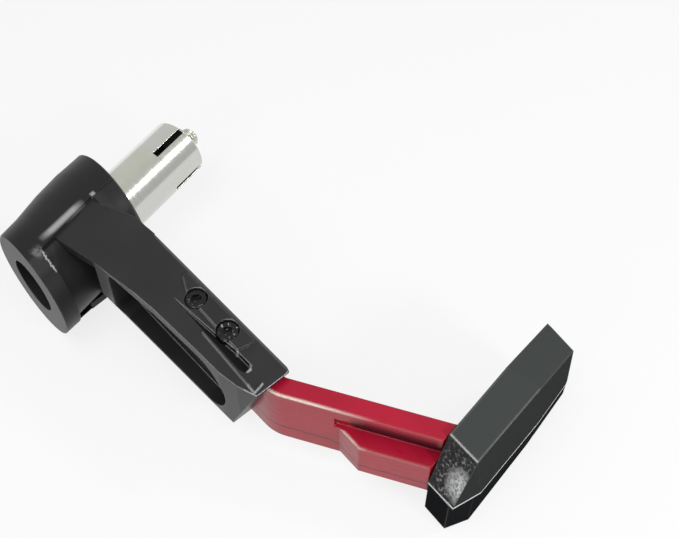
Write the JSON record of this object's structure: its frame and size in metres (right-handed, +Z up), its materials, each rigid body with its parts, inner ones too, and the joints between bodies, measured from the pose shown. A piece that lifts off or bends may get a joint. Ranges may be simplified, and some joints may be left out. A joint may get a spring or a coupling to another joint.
{
  "type": "brake lever guard",
  "caption": "Right-hand motorcycle lever guard: black barrel and arm on an expanding bar-end sleeve, a folded red blade and a black tip.",
  "frame": {"origin": "on the handlebar axis, where the end of the handlebar tube stops against the floor of the barrel's cup", "axes": "+X along the handlebar axis pointing inboard, out of the sleeve's free end; -Y forward of the handlebar; +Z up"},
  "size_m": [0.0706, 0.1499, 0.0391],
  "materials": {
    "black_moulding": "fine satin grain",
    "red_anodised": "red anodised, satin gloss",
    "zinc_plated": "bright plated steel with a faint yellow tint",
    "black_steel": "black oxide"
  },
  "bodies": {
    "root": {"housing_arm": "black_moulding", "guard_blade": "red_anodised", "tip_cap": "black_moulding", "expansion_sleeve": "zinc_plated", "expander_cone": "zinc_plated", "bar_end_bolt": "zinc_plated", "bolt_washer": "zinc_plated", "clamp_screw_inner": "black_steel", "clamp_screw_outer": "black_steel", "tip_screw": "zinc_plated"}
  },
  "joints": []
}
